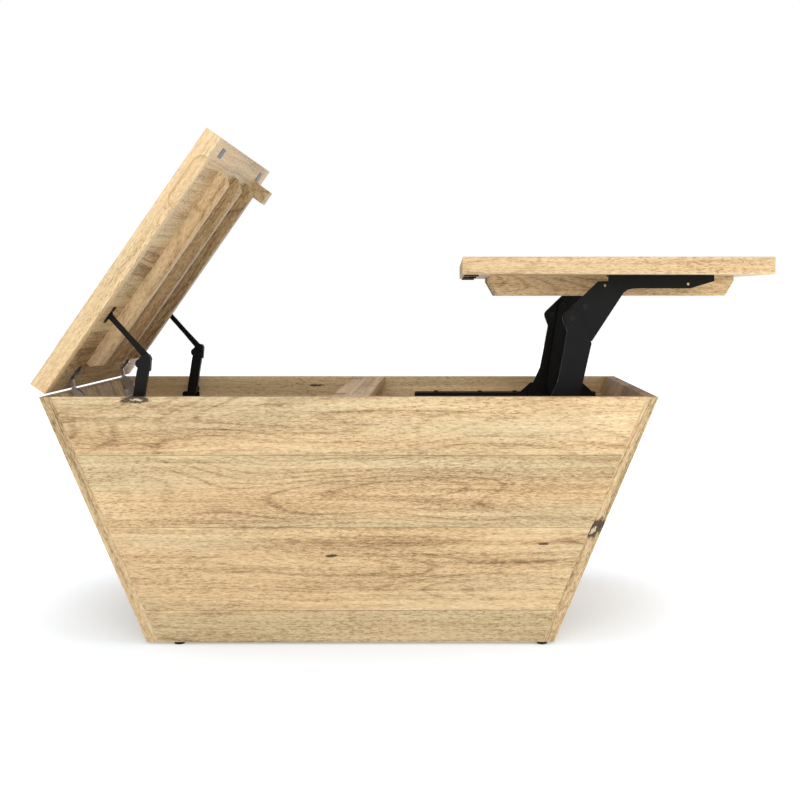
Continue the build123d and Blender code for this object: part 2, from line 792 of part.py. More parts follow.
strike_x = lid_end + top_gap / 2 - catch_inset
with BuildPart() as lid_strike_plates:
    with BuildSketch(flat_on(lid, lid_under)):
        with Locations(*[(strike_x, y) for x, y in catch_spots]):
            Rectangle(catch_length, catch_width)
    extrude(amount=-strike_thickness)
save(lid_strike_plates, "lid_strike_plates")

# ---------------------------------------------------------------- Lid hinges
hinge_pin = (-half_length + hinge_pin_x, rim_z + hinge_pin_up)
panel_frame = (-half_length + board_level, rim_z, -degrees(atan2(1, lean)))
slant = 1 / cos(radians(end_lean))
plate_from = hinge_plate_top * slant
plate_to = plate_from + hinge_plate_height * slant
link_frame = (*hinge_pin, hinge_link_open)
tip_low = rim_z - 9.0


def on_panel(drop, out):
    """Point that far below the rim and that far out level from the left end panel's face."""
    return (-half_length + board_level + drop * lean + out, rim_z - drop)


hinge_skin = hinge_plate_thickness * slant
hinge_arm_outline = [
    on_panel(hinge_plate_top - 2, hinge_skin),
    on_panel(62, hinge_skin),
    on_panel(50, 14),
    on_panel(30, 21),
    on_panel(12, 24),
    on_panel(2, 22.5),
    on_panel(-4, 17),
    *arc_points(*hinge_pin, 4, 60, 200, 6),
    on_panel(2, 3.2),
    on_panel(12, 2.2),
    on_panel(hinge_plate_top - 3, 2.2),
]
for name, side in sides.items():
    y = side * cup_y
    with BuildPart() as hinge_cup:
        with BuildSketch(flat_on(lid, lid_under)):
            with Locations((cup_x, y)):
                Circle(cup_radius)
        extrude(amount=cup_depth)
        with BuildSketch(flat_on(lid, lid_under)):
            with Locations((cup_x, y)):
                Circle(cup_radius - cup_wall)
        extrude(amount=cup_depth - cup_wall, mode=Mode.SUBTRACT)
        with BuildSketch(flat_on(lid, lid_under)):
            with Locations((cup_x, y)):
                Rectangle(cup_ear_width, cup_ear_length)
                Circle(cup_radius - cup_wall, mode=Mode.SUBTRACT)
        extrude(amount=-cup_wall)
    save(hinge_cup, "hinge_cup_" + name)

    with BuildPart() as hinge_plate:
        half = hinge_plate_width / 2
        with BuildSketch(upright(panel_frame, y + half)):
            with Locations(((plate_from + plate_to) / 2, hinge_plate_thickness / 2)):
                Rectangle(plate_to - plate_from, hinge_plate_thickness)
        extrude(amount=hinge_plate_width)
    save(hinge_plate, "hinge_plate_" + name)

    with BuildPart() as hinge_arm:
        with BuildSketch(upright(table, y + hinge_arm_width / 2)):
            with BuildLine():
                Polyline(*hinge_arm_outline, close=True)
            make_face()
        extrude(amount=hinge_arm_width)
        with BuildSketch(Plane.XY.offset(tip_low)):
            with Locations((hinge_pin[0] + hinge_link_length / 2, y)):
                Rectangle(2 * hinge_link_length, hinge_slot)
        extrude(amount=2 * hinge_link_length, mode=Mode.SUBTRACT)
        with BuildSketch(upright(table, y + hinge_arm_width / 2)):
            with Locations(hinge_pin):
                Circle(hinge_pin_radius)
        extrude(amount=hinge_arm_width)
    save(hinge_arm, "hinge_arm_" + name)

    outline = bar_outline(hinge_link_length, hinge_link_half, hinge_link_half, hinge_link_half)
    link_span = (y - hinge_link_width / 2, y + hinge_link_width / 2)
    link_holes = [(0, 0, hinge_pin_radius + pivot_play)]
    save(plate(link_frame, link_span, outline, link_holes), "hinge_link_" + name)

# ---------------------------------------------------------------- Lid stays
stay_foot_at = (-half_length + stay_foot_x, rim_z - stay_foot_drop)
stay_knee_at = (-half_length + stay_knee_x, rim_z + stay_knee_rise)
stay_lid_at = from_frame(lid, stay_lid_along, lid_under - stay_lid_drop)


def run_between(a, b):
    """Length and angle of the line from a to b."""
    dx, dz = b[0] - a[0], b[1] - a[1]
    return hypot(dx, dz), degrees(atan2(dz, dx))


lower_length, lower_angle = run_between(stay_foot_at, stay_knee_at)
upper_length, upper_angle = run_between(stay_knee_at, stay_lid_at)
lower_frame = (*stay_foot_at, lower_angle)
upper_frame = (*stay_knee_at, upper_angle)
body_inner = stay_outer + stay_body_thickness
bar_outer = body_inner + layer_gap
ear_outer = bar_outer + stay_bar_thickness + layer_gap
share = lower_length / stay_drawn_length
lower_outline = [
    (-10.0, -6.0),
    (-6.0, -10.0),
    (74.0 * share, -6.6),
    (74.5 * share, -9.7),
    (98.6 * share, -6.4),
    (104.0 * share, -2.0),
    (104.0 * share, 5.0),
    (97.0 * share, 12.0),
    *arc_points(84.0 * share, 10.5, 9.0, 40, 160),
    (70.0 * share, 14.0),
    (-6.0, 9.8),
    (-10.0, 6.0),
]
plate_mid = (stay_foot_at[0] - stay_plate_shift, rim_z - stay_plate_top - stay_plate_height / 2)
for name, side in sides.items():
    wall_span = layer(side, board, stay_plate_thickness)
    boss_span = layer(side, board, stay_outer - layer_gap - board)
    pin_span = layer(side, board, body_inner - board)
    with BuildPart() as stay_foot:
        with BuildSketch(upright(table, wall_span[1])):
            with Locations(plate_mid):
                RectangleRounded(stay_plate_length, stay_plate_height, stay_plate_round)
        extrude(amount=stay_plate_thickness)
        for (front, back), radius in ((boss_span, stay_boss_radius), (pin_span, stay_pin_radius)):
            with BuildSketch(upright(table, back)):
                with Locations(stay_foot_at):
                    Circle(radius)
            extrude(amount=back - front)
    save(stay_foot, "stay_foot_" + name)

    knee_span = layer(side, body_inner, layer_gap + stay_bar_thickness)
    with BuildPart() as stay_lower_arm:
        body_span = layer(side, stay_outer, stay_body_thickness)
        with BuildSketch(upright(lower_frame, body_span[1])):
            with BuildLine():
                Polyline(*lower_outline, close=True)
            make_face()
            Circle(stay_pin_radius + pivot_play, mode=Mode.SUBTRACT)
        extrude(amount=stay_body_thickness)
        with BuildSketch(upright(lower_frame, knee_span[1])):
            with Locations((lower_length, 0)):
                Circle(stay_pin_radius)
        extrude(amount=knee_span[1] - knee_span[0])
    save(stay_lower_arm, "stay_lower_arm_" + name)

    bar_span = layer(side, bar_outer, stay_bar_thickness)
    outline = bar_outline(upper_length, stay_bar_half + 1.5, stay_bar_half, stay_bar_half)
    knee_hole = [(0, 0, stay_pin_radius + pivot_play)]
    save(plate(upper_frame, bar_span, outline, knee_hole), "stay_upper_arm_" + name)

    ear_span = layer(side, ear_outer, stay_ear_thickness)
    plate_span = layer(side, ear_outer, stay_bracket_width)
    with BuildPart() as stay_bracket:
        with BuildSketch(upright(lid, ear_span[1])):
            with BuildLine():
                Polyline(
                    (stay_lid_along - stay_bar_half - 6, lid_under),
                    (stay_lid_along + stay_bar_half + 6, lid_under),
                    *arc_points(stay_lid_along, lid_under - stay_lid_drop, stay_bar_half, 0, -180),
                    close=True,
                )
            make_face()
        extrude(amount=stay_ear_thickness)
        with BuildSketch(flat_on(lid, lid_under)):
            with Locations((stay_lid_along, (plate_span[0] + plate_span[1]) / 2)):
                Rectangle(stay_bracket_length, stay_bracket_width)
        extrude(amount=-stay_ear_thickness / 2)
    save(stay_bracket, "stay_bracket_" + name)
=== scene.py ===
import bpy
import json
import math
from mathutils import Matrix, Vector


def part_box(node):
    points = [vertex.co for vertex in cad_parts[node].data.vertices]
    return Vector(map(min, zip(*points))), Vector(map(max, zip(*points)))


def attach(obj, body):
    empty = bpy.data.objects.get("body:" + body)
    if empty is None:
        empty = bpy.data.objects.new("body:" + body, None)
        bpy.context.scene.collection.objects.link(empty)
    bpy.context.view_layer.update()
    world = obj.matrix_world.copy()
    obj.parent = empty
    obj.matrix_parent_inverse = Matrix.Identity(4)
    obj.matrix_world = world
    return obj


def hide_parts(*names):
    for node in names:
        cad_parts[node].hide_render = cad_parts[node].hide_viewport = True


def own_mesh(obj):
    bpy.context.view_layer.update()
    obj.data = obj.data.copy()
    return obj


# Looks, light and camera for the lift top coffee table. Lengths are in metres, at rest: the lid
# stands open at the left, and the lift top is raised at the right.

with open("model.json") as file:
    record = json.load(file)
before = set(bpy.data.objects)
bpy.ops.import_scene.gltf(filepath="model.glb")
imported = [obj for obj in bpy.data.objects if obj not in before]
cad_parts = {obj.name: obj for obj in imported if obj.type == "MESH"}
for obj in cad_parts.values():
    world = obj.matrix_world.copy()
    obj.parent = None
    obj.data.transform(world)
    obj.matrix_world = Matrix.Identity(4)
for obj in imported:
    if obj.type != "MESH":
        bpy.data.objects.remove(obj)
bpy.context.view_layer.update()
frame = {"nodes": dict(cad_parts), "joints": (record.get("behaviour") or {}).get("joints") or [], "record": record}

JOINTS = {joint["name"]: joint for joint in frame["joints"]}
LID_HINGE = Vector(JOINTS["lid_hinge"]["pos_m"])
LID_OPEN = math.radians(JOINTS["lid_hinge"]["range_deg"][1])
END_LEAN = math.radians(22.5)
SIDES = ("front", "rear")

# Frame at the lid's hinge axis, with X along the open lid.
LID_FRAME = Matrix.Translation(LID_HINGE) @ Matrix.Rotation(-LID_OPEN, 4, "Y")


def srgb(r, g, b):
    """Linear colour of an 8-bit screen colour."""
    out = []
    for c in (r, g, b):
        c /= 255.0
        out.append(c / 12.92 if c <= 0.04045 else ((c + 0.055) / 1.055) ** 2.4)
    return (*out, 1.0)


def local_range(node, matrix, axis):
    """Extent of a CAD node along an axis of another frame."""
    back = matrix.inverted()
    values = [(back @ vertex.co)[axis] for vertex in frame["nodes"][node].data.vertices]
    return min(values), max(values)


def link(name, data):
    """New object of this name in the scene."""
    piece = bpy.data.objects.new(name, data)
    bpy.context.collection.objects.link(piece)
    return piece


# ---------------------------------------------------------------- Shader graphs
class Graph:
    """Short ways to add shader nodes to one material."""

    def __init__(self, name):
        self.material = bpy.data.materials.new(name)
        self.material.use_nodes = True
        self.tree = self.material.node_tree
        self.tree.nodes.clear()

    def add(self, kind, **settings):
        """New node, with its settings."""
        node = self.tree.nodes.new("ShaderNode" + kind)
        for key, value in settings.items():
            setattr(node, key, value)
        return node

    def join(self, source, target):
        """Set a socket to a number or colour, or link another node's output to it."""
        if isinstance(source, (int, float, tuple)):
            target.default_value = source
        else:
            self.tree.links.new(source, target)

    def math(self, operation, a, b=0.0, c=0.0):
        node = self.add("Math", operation=operation)
        for value, socket in zip((a, b, c), node.inputs):
            self.join(value, socket)
        return node.outputs[0]

    def scaled(self, value, factor):
        return self.math("MULTIPLY", value, factor)

    def centred(self, value):
        return self.math("SUBTRACT", value, 0.5)

    def combine(self, x, y, z):
        node = self.add("CombineXYZ")
        for value, socket in zip((x, y, z), node.inputs):
            self.join(value, socket)
        return node.outputs[0]

    def split(self, vector):
        node = self.add("SeparateXYZ")
        self.join(vector, node.inputs[0])
        return node.outputs

    def coordinates(self, **settings):
        """The object's own coordinates, turned or stretched by a mapping if it has settings."""
        place = self.add("TexCoord").outputs["Object"]
        if not settings:
            return place
        mapping = self.add("Mapping")
        for name, value in settings.items():
            mapping.inputs[name].default_value = value
        self.join(place, mapping.inputs["Vector"])
        return mapping.outputs[0]

    def noise(self, vector, scale=1.0, detail=2.0, rough=0.5, seed=0.0):
        node = self.add("TexNoise", noise_dimensions="4D")
        self.join(vector, node.inputs["Vector"])
        self.join(seed, node.inputs["W"])
        node.inputs["Scale"].default_value = scale
        node.inputs["Detail"].default_value = detail
        node.inputs["Roughness"].default_value = rough
        return node.outputs["Fac"]

    def ramp(self, value, stops, interpolation="LINEAR"):
        """Colour ramp. A stop is a place, and a colour or a grey."""
        node = self.add("ValToRGB")
        node.color_ramp.interpolation = interpolation
        elements = node.color_ramp.elements
        while len(elements) > 1:
            elements.remove(elements[-1])
        for i, (place, colour) in enumerate(stops):
            element = elements[0] if i == 0 else elements.new(place)
            element.position = place
            element.color = colour if isinstance(colour, tuple) else (colour, colour, colour, 1.0)
        self.join(value, node.inputs[0])
        return node.outputs[0]

    def smooth(self, value, low, high, start=0.0, end=1.0):
        """Smooth step from start at low to end at high."""
        node = self.add("MapRange", interpolation_type="SMOOTHSTEP")
        for given, socket in zip((value, low, high, start, end), node.inputs[:5]):
            self.join(given, socket)
        return node.outputs[0]

    def mix(self, factor, a, b, mode="MIX"):
        node = self.add("Mix", data_type="RGBA", blend_type=mode)
        for value, i in ((factor, 0), (a, 6), (b, 7)):      # 6 and 7 are the colour sockets
            self.join(value, node.inputs[i])
        return node.outputs[2]

    def tint(self, colour, by):
        return self.mix(1.0, colour, by, "MULTIPLY")

    def surface(self, colour, roughness, height=None, bump=0.2, distance=0.001, **fixed):
        """Finish the material. Each name in fixed is a socket, with _ for a space."""
        shader = self.add("BsdfPrincipled")
        self.join(colour, shader.inputs["Base Color"])
        self.join(roughness, shader.inputs["Roughness"])
        for name, value in fixed.items():
            self.join(value, shader.inputs[name.replace("_", " ")])
        if height is not None:
            node = self.add("Bump")
            node.inputs["Strength"].default_value = bump
            node.inputs["Distance"].default_value = distance
            self.join(height, node.inputs["Height"])
            self.join(node.outputs[0], shader.inputs["Normal"])
        out = self.add("OutputMaterial")
        self.join(shader.outputs[0], out.inputs[0])
        return self.material


def paint(node, material):
    """Give a carried-over CAD node one material."""
    mesh = frame["nodes"][node].data
    mesh.materials.clear()
    mesh.materials.append(material)
    for face in mesh.polygons:
        face.material_index = 0


# ---------------------------------------------------------------- Wood
PALE = [(0.0, srgb(110, 82, 50)), (0.25, srgb(166, 137, 98)), (0.5, srgb(205, 178, 138)),
        (0.75, srgb(222, 197, 157)), (1.0, srgb(238, 217, 180))]
WARM_TINT, COOL_TINT, STREAK_TINT = srgb(255, 248, 238), srgb(238, 243, 240), srgb(214, 176, 128)
BROWN_FLECK, PORE = srgb(122, 82, 48), srgb(122, 90, 58)
KNOT, KNOT_HEART = srgb(50, 30, 18), srgb(196, 180, 150)
GLUE_LINE, SAPWOOD = srgb(112, 80, 50), srgb(236, 212, 158)

BASE_TONE = 0.55
BROAD_WEIGHT, RING_WEIGHT, LINE_WEIGHT = 0.80, -0.20, -0.14
RING_COUNT, RING_SHARPNESS = 75.0, 16.0
CUT_MARGIN = 0.2            # how far the ramp over the boards reaches past the first and last cut
BOARD_SEED_STEP, BOARD_SEED_SPAN = 0.37, 23.0

# Figure of the wood: noise scale along and across the grain, detail, shift of seed, roughness.
FIGURE = {
    "broad": (1.3, 11.0, 2.0, 1.0, 0.55),
    "mid": (2.2, 120.0, 3.0, 2.0, 0.55),
    "lines": (3.0, 420.0, 2.0, 14.0, 0.55),
    "fibre": (95.0, 560.0, 1.0, 3.0, 0.6),
    "fine": (210.0, 1100.0, 2.0, 4.0, 0.7),
    "rings": (1.5, 8.0, 1.0, 5.0, 0.55),
    "ring_zone": (1.2, 5.0, 1.0, 12.0, 0.55),
    "pores": (120.0, 700.0, 1.0, 6.0, 0.55),
    "pore_zone": (2.0, 14.0, 2.0, 7.0, 0.55),
    "mottle": (22.0, 60.0, 2.0, 8.0, 0.55),
    "cool": (1.1, 13.0, 2.0, 13.0, 0.55),
    "streak": (1.6, 34.0, 3.0, 9.0, 0.55),
    "fleck": (9.0, 90.0, 3.0, 11.0, 0.55),
}


def glued_boards(g, v, cuts, tones, seed):
    """Tone and seed of the board at v, and masks for glue lines and the pale sapwood below them."""
    low, high = min(cuts) - CUT_MARGIN, max(cuts) + CUT_MARGIN
    places = [0.0] + [(cut - low) / (high - low) for cut in cuts]
    along = g.math("DIVIDE", g.math("SUBTRACT", v, low), high - low)
    board_tone = g.ramp(along, zip(places, tones), "CONSTANT")
    picks = [0.03] + [((i + 1) * BOARD_SEED_STEP) % 1.0 for i in range(len(cuts))]
    pick = g.ramp(along, zip(places, picks), "CONSTANT")
    board_seed = g.math("MULTIPLY_ADD", pick, BOARD_SEED_SPAN, float(seed))
    glue, sap = 0.0, 0.0
    for cut in cuts:
        near = g.math("ABSOLUTE", g.math("SUBTRACT", v, cut))
        glue = g.math("MAXIMUM", glue, g.smooth(near, 0.0002, 0.0011, 1.0, 0.0))
        under = g.math("SUBTRACT", cut, v)
        band = g.math("MULTIPLY", g.smooth(under, 0.0004, 0.001),
                      g.smooth(under, 0.003, 0.007, 1.0, 0.0))
        sap = g.math("MAXIMUM", sap, band)
    return board_tone, board_seed, glue, sap


def knot_masks(g, u, v, w, knots, on_edge, seed):
    """Masks for dark knots and their pale hearts, and v bent round them.
    A knot is its place along and across, its half sizes, and how pale its heart is."""
    dark, pale, v_bent = 0.0, 0.0, v
    side = w if on_edge else v
    slant = 0.5 if on_edge else 0.0
    for at_u, at_v, half_u, half_v, heart in knots:
        du = g.math("DIVIDE", g.math("SUBTRACT", u, at_u), half_u)
        dv = g.math("DIVIDE", g.math("SUBTRACT", side, at_v), half_v)
        du = g.math("MULTIPLY_ADD", dv, slant, du)
        wobble = g.noise(g.combine(g.scaled(u, 60.0), g.scaled(side, 130.0), 0.0),
                         detail=4.0, rough=0.7, seed=seed + 5.0)
        away = g.math("SQRT", g.math("ADD", g.math("MULTIPLY", du, du), g.math("MULTIPLY", dv, dv)))
        away = g.math("ADD", away, g.math("MULTIPLY_ADD", wobble, 2.4, -1.2))
        dark = g.math("MAXIMUM", dark, g.smooth(away, 0.65, 1.05, 1.0, 0.0))
        if heart:
            pale = g.math("MAXIMUM", pale, g.smooth(away, 0.18, 0.32, heart, 0.0))
        if not on_edge:
            bend = g.math("DIVIDE", dv, g.math("MULTIPLY_ADD", away, away, 1.0))
            v_bent = g.math("MULTIPLY_ADD", bend, half_v * 0.8, v_bent)
    return dark, pale, v_bent


def wood(name, seed, grain="X", across="Z", turn=0.0, cuts=(), tones=(), lift=0.0, contrast=1.0,
         knots=(), knots_on_edge=False, swirl=0.0, streaks=0.6):
    """Mango wood. grain and across name axes after the coordinates are turned about Y.
    cuts are the places of glue lines along across, in metres, with one tone for each board."""
    g = Graph("wood_" + name)
    axes = dict(zip("XYZ", g.split(g.coordinates(Rotation=(0.0, turn, 0.0)))))
    u, v = axes[grain], axes[across]
    w = axes[({"X", "Y", "Z"} - {grain, across}).pop()]

    board_seed = float(seed)
    if cuts:
        board_tone, board_seed, glue, sap = glued_boards(g, v, cuts, tones, seed)
    knot_dark, knot_pale, v_bent = knot_masks(g, u, v, w, knots, knots_on_edge, seed)

    drift = g.noise(g.combine(g.scaled(u, 2.2), g.scaled(v, 5.0), w), seed=board_seed)
    v_bent = g.math("MULTIPLY_ADD", g.centred(drift), 0.03 + swirl, v_bent)

    def figure(part):
        along, over, detail, shift, rough = FIGURE[part]
        vector = g.combine(g.scaled(u, along), g.scaled(v_bent, over), g.scaled(w, over))
        return g.noise(vector, detail=detail, rough=rough, seed=g.math("ADD", board_seed, shift))

    mid, fine = figure("mid"), figure("fine")
    rings = g.math("SINE", g.scaled(figure("rings"), RING_COUNT))
    rings = g.math("POWER", g.math("ABSOLUTE", rings), RING_SHARPNESS)
    rings = g.math("MULTIPLY", rings, g.smooth(figure("ring_zone"), 0.42, 0.62))
    pores = g.math("MULTIPLY", g.smooth(figure("pores"), 0.55, 0.64),
                   g.smooth(figure("pore_zone"), 0.40, 0.60, 0.35, 1.0))

    tone = g.math("MULTIPLY_ADD", g.centred(figure("broad")), BROAD_WEIGHT * contrast,
                  BASE_TONE + lift)
    for part, weight in ((mid, 0.85), (figure("fibre"), 0.8), (fine, 0.8),
                         (figure("mottle"), 0.08)):
        tone = g.math("MULTIPLY_ADD", g.centred(part), weight * contrast, tone)
    tone = g.math("MULTIPLY_ADD", rings, RING_WEIGHT * contrast, tone)
    lines = g.smooth(figure("lines"), 0.52, 0.70)
    tone = g.math("MULTIPLY_ADD", lines, LINE_WEIGHT * contrast, tone)
    if cuts:
        tone = g.math("ADD", tone, g.centred(board_tone))
    colour = g.ramp(tone, PALE)

    cool = g.smooth(figure("cool"), 0.40, 0.62, 0.0, 0.8)
    colour = g.mix(cool, g.tint(colour, WARM_TINT), g.tint(colour, COOL_TINT))
    streak = g.smooth(figure("streak"), 0.63, 0.80, 0.0, streaks)
    colour = g.mix(streak, colour, g.tint(colour, STREAK_TINT))
    colour = g.mix(g.smooth(figure("fleck"), 0.76, 0.82, 0.0, 0.65 * streaks), colour, BROWN_FLECK)
    colour = g.mix(g.scaled(pores, 0.60), colour, PORE)
    if knots:
        colour = g.mix(g.scaled(knot_dark, 0.92), colour, KNOT)
        colour = g.mix(knot_pale, colour, KNOT_HEART)
    height = g.math("SUBTRACT", g.scaled(fine, 0.5), g.scaled(pores, 0.9))
    if cuts:
        sap_zone = g.smooth(g.noise(g.combine(g.scaled(u, 5.0), 0.0, 0.0), seed=seed + 2.0),
                            0.52, 0.66, 0.0, 0.45)
        colour = g.mix(g.math("MULTIPLY", sap, sap_zone), colour, SAPWOOD)
        colour = g.mix(g.scaled(glue, 0.5), colour, GLUE_LINE)
        height = g.math("SUBTRACT", height, g.scaled(glue, 0.6))
    roughness = g.math("MULTIPLY_ADD", mid, 0.16, 0.40)
    roughness = g.math("MULTIPLY_ADD", pores, 0.2, roughness)
    return g.surface(colour, roughness, height, bump=0.22, distance=0.0006,
                     Specular_IOR_Level=0.35)


def wooden(node, seed, **settings):
    """Paint a node with its own wood."""
    paint(node, wood(node, seed, **settings))


def cuts_between(start, widths):
    """Places of the glue lines between boards of these widths."""
    out = []
    for width in widths[:-1]:
        start += width
        out.append(start)
    return out


# Box: planks along the front and rear, and down the leaning ends.
WALL_WIDTHS = (0.059, 0.153, 0.132, 0.106)              # from the floor up
END_SHARES = (0.06, 0.2, 0.24, 0.19, 0.25, 0.06)        # of the depth
END_TONES = (0.56, 0.50, 0.44, 0.54, 0.48, 0.56)
EDGE_KNOT_X, EDGE_KNOT_Z = 0.4465, 0.2155               # on the right end's front edge

wall_low, wall_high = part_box("front_panel")
rim = wall_high.z
wall_cuts = [wall_low.z + cut for cut in cuts_between(0.0, WALL_WIDTHS)]
wooden("front_panel", 3, cuts=wall_cuts, tones=(0.46, 0.50, 0.48, 0.51),
       knots=[(-0.385, rim - 0.005, 0.030, 0.0085, 0.9),
              (-0.032, rim - 0.290, 0.012, 0.003, 0.0),
              (0.354, rim - 0.268, 0.010, 0.003, 0.0)])
wooden("rear_panel", 14, cuts=wall_cuts, tones=(0.47, 0.55, 0.49, 0.47), lift=0.34,
       knots=[(-0.12, rim - 0.020, 0.02, 0.003, 0.0)])

end_low, end_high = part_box("left_end_panel")
depth = end_high.y - end_low.y
end_cuts = cuts_between(-depth / 2, [depth * share for share in END_SHARES])
left_turn, right_turn = math.pi / 2 + END_LEAN, math.pi / 2 - END_LEAN
knot_along = EDGE_KNOT_X * math.cos(right_turn) + EDGE_KNOT_Z * math.sin(right_turn)
knot_over = EDGE_KNOT_Z * math.cos(right_turn) - EDGE_KNOT_X * math.sin(right_turn)
wooden("left_end_panel", 25, across="Y", turn=left_turn, cuts=end_cuts, tones=END_TONES, lift=-0.20)
wooden("right_end_panel", 36, across="Y", turn=right_turn, cuts=end_cuts, tones=END_TONES,
       lift=-0.24, knots=[(knot_along, knot_over, 0.023, 0.014, 0.9)], knots_on_edge=True)
wooden("bottom_panel", 41, across="Y", cuts=(-0.17, -0.05, 0.08, 0.19),
       tones=(0.5, 0.45, 0.52, 0.47, 0.5), lift=-0.05)
wooden("divider_panel", 52, grain="Y", across="Z", cuts=(0.12, 0.23, 0.35),
       tones=(0.5, 0.44, 0.53, 0.48))
wooden("centre_rail_left", 61, grain="Y", across="X", lift=-0.10, streaks=0.9)
wooden("centre_rail_right", 72, grain="Y", across="X", lift=-0.18, streaks=0.9)
wooden("mechanism_cleats", 83, across="Z", lift=-0.02)

# Tops: boards across the table, with the same widths out from the middle on both.
TOP_WIDTHS = [0.069, 0.098, 0.066, 0.112, 0.081, 0.104]
TOP_TONES = (0.50, 0.44, 0.55, 0.47, 0.53, 0.45, 0.52)
LID_BATTENS = (("front", 0.0), ("middle", -0.20), ("rear", -0.08))

lid_start, lid_end = local_range("lid_boards", LID_FRAME, 0)
world_origin = LID_FRAME.inverted() @ Vector((0.0, 0.0, 0.0))     # where wood measures from
lid_widths = [lid_end - lid_start - sum(TOP_WIDTHS)] + TOP_WIDTHS[::-1]
lid_cuts = cuts_between(lid_start - world_origin.x, lid_widths)
lift_low, lift_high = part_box("lift_boards")
lift_widths = TOP_WIDTHS + [lift_high.x - lift_low.x - sum(TOP_WIDTHS)]
lift_cuts = cuts_between(lift_low.x, lift_widths)
wooden("lid_boards", 91, grain="Y", across="X", turn=LID_OPEN, cuts=lid_cuts, tones=TOP_TONES,
       lift=-0.04, swirl=0.05, contrast=1.2)
wooden("lift_boards", 102, grain="Y", across="X", cuts=lift_cuts, tones=TOP_TONES, swirl=0.02)
for i, side in enumerate(SIDES):
    wooden(f"lid_{side}_edge", 113 + 7 * i, turn=LID_OPEN, lift=0.08)
    wooden(f"lift_{side}_edge", 131 + 7 * i, lift=0.06, contrast=0.8)
for i, (place, tone) in enumerate(LID_BATTENS):
    wooden(f"lid_batten_{place}", 147 + 5 * i, turn=LID_OPEN, lift=tone)
    wooden(f"lift_batten_{place}", 166 + 5 * i, lift=-0.03)
wooden("lid_stop_block", 185, grain="Y", across="X", turn=LID_OPEN, lift=-0.10, swirl=0.04)


# ---------------------------------------------------------------- Metal, plastic and rubber
RIB_PITCH = 0.0042          # along the strike plates


def fine_finish(name, dark, light, rough, spread, grit=900.0, bump=0.25, distance=0.00015,
                metal=0.0, stretch=(1.0, 1.0, 1.0), wear=None, **fixed):
    """Even finish with fine grit, and slow changes of tone and gloss. wear is the colour of
    rubbed marks."""
    g = Graph(name)
    place = g.coordinates()
    grain = g.noise(g.coordinates(Scale=stretch), scale=grit, detail=3.0, rough=0.6)
    slow = g.noise(place, scale=22.0, detail=3.0, seed=3.0)
    colour = g.ramp(slow, [(0.3, dark), (0.7, light)])
    colour = g.mix(g.smooth(grain, 0.35, 0.75, 0.0, 0.35), colour, light)
    roughness = g.math("MULTIPLY_ADD", slow, spread, rough - spread / 2)
    roughness = g.math("MULTIPLY_ADD", grain, 0.08, roughness)
    if wear is not None:
        rub = g.noise(place, scale=160.0, detail=5.0, rough=0.7, seed=8.0)
        colour = g.mix(g.smooth(rub, 0.64, 0.74, 0.0, 0.5), colour, wear)
    return g.surface(colour, roughness, grain, bump=bump, distance=distance, Metallic=metal,
                     **fixed)


def ribbed_steel_with_painted_shade(name):
    """Grey plated strike, ribbed across, with painted shade in the grooves and a painted bluish highlight on the
    crests.
    """
    g = Graph(name)
    x = g.split(g.coordinates(Rotation=(0.0, LID_OPEN, 0.0)))[0]
    rib_relief_and_shade = g.math("SINE", g.scaled(x, 2 * math.pi / RIB_PITCH))
    grain = g.noise(g.coordinates(), scale=700.0, detail=3.0)
    # Painted shade and highlight: the colour is darker in the grooves between the ribs and lighter, bluer on their
    # crests, on top of the rib bump.
    colour = g.mix(g.smooth(rib_relief_and_shade, -0.8, 0.6), srgb(52, 50, 58), srgb(96, 96, 116))
    colour = g.mix(g.scaled(grain, 0.3), colour, srgb(120, 120, 132))
    return g.surface(colour, g.math("MULTIPLY_ADD", grain, 0.15, 0.3), rib_relief_and_shade, bump=0.5,
                     distance=0.0004, Metallic=0.6)


LOOKS = {
    "black_steel": fine_finish("black_steel", srgb(9, 9, 8), srgb(17, 17, 16), 0.42, 0.12,
                               wear=srgb(30, 29, 28), Specular_IOR_Level=0.12),
    "screw_steel": fine_finish("screw_steel", srgb(15, 15, 15), srgb(30, 30, 29), 0.34, 0.12,
                               metal=0.6, Specular_IOR_Level=0.3),
    "spring_steel": fine_finish("spring_steel", srgb(26, 26, 26), srgb(50, 50, 48), 0.30, 0.1,
                                metal=0.8),
    "stay_plastic": fine_finish("stay_plastic", srgb(9, 9, 9), srgb(17, 17, 17), 0.36, 0.1,
                                grit=1500.0, Specular_IOR_Level=0.15),
    "rubber_pads": fine_finish("rubber_pads", srgb(14, 14, 14), srgb(26, 25, 24), 0.78, 0.1,
                               grit=500.0, bump=0.4, Specular_IOR_Level=0.25),
    "catch_black": fine_finish("catch_black", srgb(30, 29, 28), srgb(48, 46, 44), 0.4, 0.1),
    "hinge_nickel": fine_finish("hinge_nickel", srgb(150, 144, 140), srgb(196, 192, 190), 0.27,
                                0.12, grit=420.0, metal=1.0, stretch=(1.0, 1.0, 0.12), bump=0.12),
    "strike_steel": ribbed_steel_with_painted_shade("strike_steel"),
}
for part in frame["record"]["subparts"]:
    if part["material_slot"] in LOOKS:
        paint(part["node"], LOOKS[part["material_slot"]])


# ---------------------------------------------------------------- Springs
COIL_TURNS = 22
COIL_STEPS = 18             # points in each turn
COIL_WIRE = 0.0009          # radius of the wire
COIL_CLEARANCE = 0.0003     # inside the CAD spring's surface
COIL_TAIL = 0.009           # straight end that the hook holds


